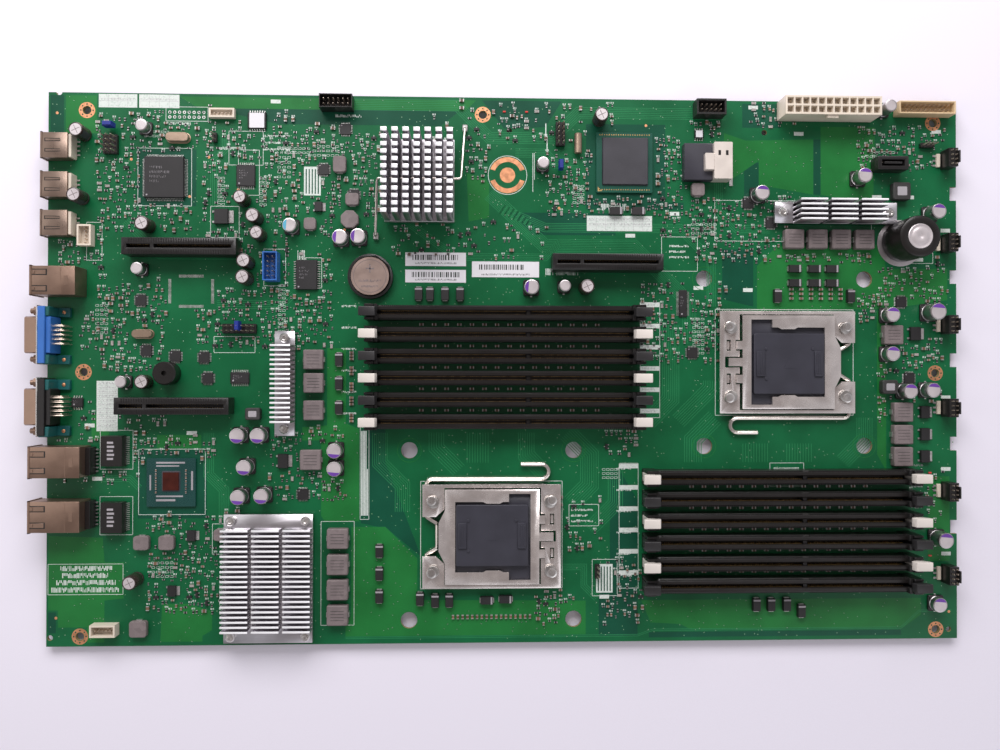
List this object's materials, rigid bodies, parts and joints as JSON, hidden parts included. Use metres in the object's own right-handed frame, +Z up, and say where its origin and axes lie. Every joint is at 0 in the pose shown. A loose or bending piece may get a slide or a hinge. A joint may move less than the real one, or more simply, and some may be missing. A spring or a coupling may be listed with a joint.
{
  "type": "server motherboard",
  "caption": "Two socket server motherboard with memory banks, finned heatsinks, card slots, edge ports and hinged socket clamps.",
  "frame": {"origin": "middle of the board's underside, on the face that rests on the standoffs", "axes": "+X along the long side away from the port edge, +Y along the short side towards the power connector's edge, +Z up from the solder side"},
  "size_m": [0.4935, 0.2916, 0.0344],
  "materials": {
    "solder_mask": "satin green lacquer over glass laminate",
    "black_plastic": "moulded black",
    "latch_black": "moulded black",
    "latch_white": "moulded white",
    "socket_plastic": "moulded slate",
    "cover_plastic": "moulded slate",
    "nickel_sheet": "warm nickel plate",
    "bright_wire": "bright nickel plate",
    "backplate_steel": "zinc plate",
    "cell_steel": "polished",
    "white_plastic": "natural nylon",
    "tan_plastic": "natural high temperature nylon",
    "blue_plastic": "moulded blue",
    "cage_steel": "bright tin plate",
    "port_steel": "bright tin plate",
    "tinned_shell": "tin plate",
    "aluminium": "clear anodised"
  },
  "bodies": {
    "root": {"pcb": "solder_mask", "dimm_bank_a": "black_plastic", "dimm_bank_b": "black_plastic", "socket_body_a": "socket_plastic", "socket_frame_a": "nickel_sheet", "backplate_a": "backplate_steel", "socket_body_b": "socket_plastic", "socket_frame_b": "nickel_sheet", "backplate_b": "backplate_steel", "battery_holder": "black_plastic", "card_slot_1": "black_plastic", "card_slot_2": "black_plastic", "card_slot_3": "black_plastic", "power_connector_24": "white_plastic", "ribbon_header": "tan_plastic", "disk_connector": "black_plastic", "wide_disk_connector": "cage_steel", "usb_port_1": "port_steel", "usb_port_2": "port_steel", "usb_port_3": "port_steel", "service_port": "tinned_shell", "lan_port_1": "tinned_shell", "lan_port_2": "tinned_shell", "video_port": "blue_plastic", "serial_port": "black_plastic", "pin_heatsink": "aluminium", "side_heatsink": "aluminium", "large_heatsink": "aluminium", "regulator_heatsink": "aluminium"},
    "dimm_latch_a1_left": {"dimm_latch_a1_left": "latch_black"},
    "dimm_latch_a1_right": {"dimm_latch_a1_right": "latch_black"},
    "dimm_latch_a2_left": {"dimm_latch_a2_left": "latch_white"},
    "dimm_latch_a2_right": {"dimm_latch_a2_right": "latch_white"},
    "dimm_latch_a3_left": {"dimm_latch_a3_left": "latch_black"},
    "dimm_latch_a3_right": {"dimm_latch_a3_right": "latch_black"},
    "dimm_latch_a4_left": {"dimm_latch_a4_left": "latch_white"},
    "dimm_latch_a4_right": {"dimm_latch_a4_right": "latch_white"},
    "dimm_latch_a5_left": {"dimm_latch_a5_left": "latch_black"},
    "dimm_latch_a5_right": {"dimm_latch_a5_right": "latch_black"},
    "dimm_latch_a6_left": {"dimm_latch_a6_left": "latch_white"},
    "dimm_latch_a6_right": {"dimm_latch_a6_right": "latch_white"},
    "dimm_latch_b1_left": {"dimm_latch_b1_left": "latch_white"},
    "dimm_latch_b1_right": {"dimm_latch_b1_right": "latch_white"},
    "dimm_latch_b2_left": {"dimm_latch_b2_left": "latch_black"},
    "dimm_latch_b2_right": {"dimm_latch_b2_right": "latch_black"},
    "dimm_latch_b3_left": {"dimm_latch_b3_left": "latch_white"},
    "dimm_latch_b3_right": {"dimm_latch_b3_right": "latch_white"},
    "dimm_latch_b4_left": {"dimm_latch_b4_left": "latch_black"},
    "dimm_latch_b4_right": {"dimm_latch_b4_right": "latch_black"},
    "dimm_latch_b5_left": {"dimm_latch_b5_left": "latch_white"},
    "dimm_latch_b5_right": {"dimm_latch_b5_right": "latch_white"},
    "dimm_latch_b6_left": {"dimm_latch_b6_left": "latch_black"},
    "dimm_latch_b6_right": {"dimm_latch_b6_right": "latch_black"},
    "load_plate_a": {"load_plate_a": "nickel_sheet"},
    "load_lever_a": {"load_lever_a": "bright_wire"},
    "land_cover_a": {"land_cover_a": "cover_plastic"},
    "load_plate_b": {"load_plate_b": "nickel_sheet"},
    "load_lever_b": {"load_lever_b": "bright_wire"},
    "land_cover_b": {"land_cover_b": "cover_plastic"},
    "battery": {"battery": "cell_steel"}
  },
  "joints": [
    {"name": "dimm_latch_a1_left_tilt", "type": "hinge", "parent": "root", "child": "dimm_latch_a1_left", "pos_m": [-0.07433, 0.02973, 0.0054], "axis": [0, -1, 0], "range_deg": [0, 30]},
    {"name": "dimm_latch_a1_right_tilt", "type": "hinge", "parent": "root", "child": "dimm_latch_a1_right", "pos_m": [0.06832, 0.02973, 0.0054], "axis": [0, 1, 0], "range_deg": [0, 30]},
    {"name": "dimm_latch_a2_left_tilt", "type": "hinge", "parent": "root", "child": "dimm_latch_a2_left", "pos_m": [-0.07433, 0.01829, 0.0054], "axis": [0, -1, 0], "range_deg": [0, 30]},
    {"name": "dimm_latch_a2_right_tilt", "type": "hinge", "parent": "root", "child": "dimm_latch_a2_right", "pos_m": [0.06832, 0.01829, 0.0054], "axis": [0, 1, 0], "range_deg": [0, 30]},
    {"name": "dimm_latch_a3_left_tilt", "type": "hinge", "parent": "root", "child": "dimm_latch_a3_left", "pos_m": [-0.07433, 0.00686, 0.0054], "axis": [0, -1, 0], "range_deg": [0, 30]},
    {"name": "dimm_latch_a3_right_tilt", "type": "hinge", "parent": "root", "child": "dimm_latch_a3_right", "pos_m": [0.06832, 0.00686, 0.0054], "axis": [0, 1, 0], "range_deg": [0, 30]},
    {"name": "dimm_latch_a4_left_tilt", "type": "hinge", "parent": "root", "child": "dimm_latch_a4_left", "pos_m": [-0.07433, -0.00456, 0.0054], "axis": [0, -1, 0], "range_deg": [0, 30]},
    {"name": "dimm_latch_a4_right_tilt", "type": "hinge", "parent": "root", "child": "dimm_latch_a4_right", "pos_m": [0.06832, -0.00456, 0.0054], "axis": [0, 1, 0], "range_deg": [0, 30]},
    {"name": "dimm_latch_a5_left_tilt", "type": "hinge", "parent": "root", "child": "dimm_latch_a5_left", "pos_m": [-0.07433, -0.01599, 0.0054], "axis": [0, -1, 0], "range_deg": [0, 30]},
    {"name": "dimm_latch_a5_right_tilt", "type": "hinge", "parent": "root", "child": "dimm_latch_a5_right", "pos_m": [0.06832, -0.01599, 0.0054], "axis": [0, 1, 0], "range_deg": [0, 30]},
    {"name": "dimm_latch_a6_left_tilt", "type": "hinge", "parent": "root", "child": "dimm_latch_a6_left", "pos_m": [-0.07433, -0.02743, 0.0054], "axis": [0, -1, 0], "range_deg": [0, 30]},
    {"name": "dimm_latch_a6_right_tilt", "type": "hinge", "parent": "root", "child": "dimm_latch_a6_right", "pos_m": [0.06832, -0.02743, 0.0054], "axis": [0, 1, 0], "range_deg": [0, 30]},
    {"name": "dimm_latch_b1_left_tilt", "type": "hinge", "parent": "root", "child": "dimm_latch_b1_left", "pos_m": [0.07278, -0.05708, 0.0054], "axis": [0, -1, 0], "range_deg": [0, 30]},
    {"name": "dimm_latch_b1_right_tilt", "type": "hinge", "parent": "root", "child": "dimm_latch_b1_right", "pos_m": [0.21543, -0.05708, 0.0054], "axis": [0, 1, 0], "range_deg": [0, 30]},
    {"name": "dimm_latch_b2_left_tilt", "type": "hinge", "parent": "root", "child": "dimm_latch_b2_left", "pos_m": [0.07278, -0.0685, 0.0054], "axis": [0, -1, 0], "range_deg": [0, 30]},
    {"name": "dimm_latch_b2_right_tilt", "type": "hinge", "parent": "root", "child": "dimm_latch_b2_right", "pos_m": [0.21543, -0.0685, 0.0054], "axis": [0, 1, 0], "range_deg": [0, 30]},
    {"name": "dimm_latch_b3_left_tilt", "type": "hinge", "parent": "root", "child": "dimm_latch_b3_left", "pos_m": [0.07278, -0.07994, 0.0054], "axis": [0, -1, 0], "range_deg": [0, 30]},
    {"name": "dimm_latch_b3_right_tilt", "type": "hinge", "parent": "root", "child": "dimm_latch_b3_right", "pos_m": [0.21543, -0.07994, 0.0054], "axis": [0, 1, 0], "range_deg": [0, 30]},
    {"name": "dimm_latch_b4_left_tilt", "type": "hinge", "parent": "root", "child": "dimm_latch_b4_left", "pos_m": [0.07278, -0.09137, 0.0054], "axis": [0, -1, 0], "range_deg": [0, 30]},
    {"name": "dimm_latch_b4_right_tilt", "type": "hinge", "parent": "root", "child": "dimm_latch_b4_right", "pos_m": [0.21543, -0.09137, 0.0054], "axis": [0, 1, 0], "range_deg": [0, 30]},
    {"name": "dimm_latch_b5_left_tilt", "type": "hinge", "parent": "root", "child": "dimm_latch_b5_left", "pos_m": [0.07278, -0.10279, 0.0054], "axis": [0, -1, 0], "range_deg": [0, 30]},
    {"name": "dimm_latch_b5_right_tilt", "type": "hinge", "parent": "root", "child": "dimm_latch_b5_right", "pos_m": [0.21543, -0.10279, 0.0054], "axis": [0, 1, 0], "range_deg": [0, 30]},
    {"name": "dimm_latch_b6_left_tilt", "type": "hinge", "parent": "root", "child": "dimm_latch_b6_left", "pos_m": [0.07278, -0.11422, 0.0054], "axis": [0, -1, 0], "range_deg": [0, 30]},
    {"name": "dimm_latch_b6_right_tilt", "type": "hinge", "parent": "root", "child": "dimm_latch_b6_right", "pos_m": [0.21543, -0.11422, 0.0054], "axis": [0, 1, 0], "range_deg": [0, 30]},
    {"name": "load_plate_a_hinge", "type": "hinge", "parent": "root", "child": "load_plate_a", "pos_m": [0.0195, -0.08825, 0.00615], "axis": [0, 1, 0], "range_deg": [0, 105]},
    {"name": "load_lever_a_pivot", "type": "hinge", "parent": "root", "child": "load_lever_a", "pos_m": [-0.0446, -0.08825, 0.00375], "axis": [0, -1, 0], "range_deg": [0, 125]},
    {"name": "land_cover_a_lift", "type": "slide", "parent": "root", "child": "land_cover_a", "axis": [0, 0, 1], "range_m": [0, 0.03]},
    {"name": "load_plate_b_hinge", "type": "hinge", "parent": "root", "child": "load_plate_b", "pos_m": [0.119, 0.00415, 0.00615], "axis": [0, -1, 0], "range_deg": [0, 105]},
    {"name": "load_lever_b_pivot", "type": "hinge", "parent": "root", "child": "load_lever_b", "pos_m": [0.1831, 0.00415, 0.00375], "axis": [0, 1, 0], "range_deg": [0, 125]},
    {"name": "land_cover_b_lift", "type": "slide", "parent": "root", "child": "land_cover_b", "axis": [0, 0, 1], "range_m": [0, 0.03]},
    {"name": "battery_lift", "type": "slide", "parent": "root", "child": "battery", "axis": [0, 0, 1], "range_m": [0, 0.015]}
  ]
}
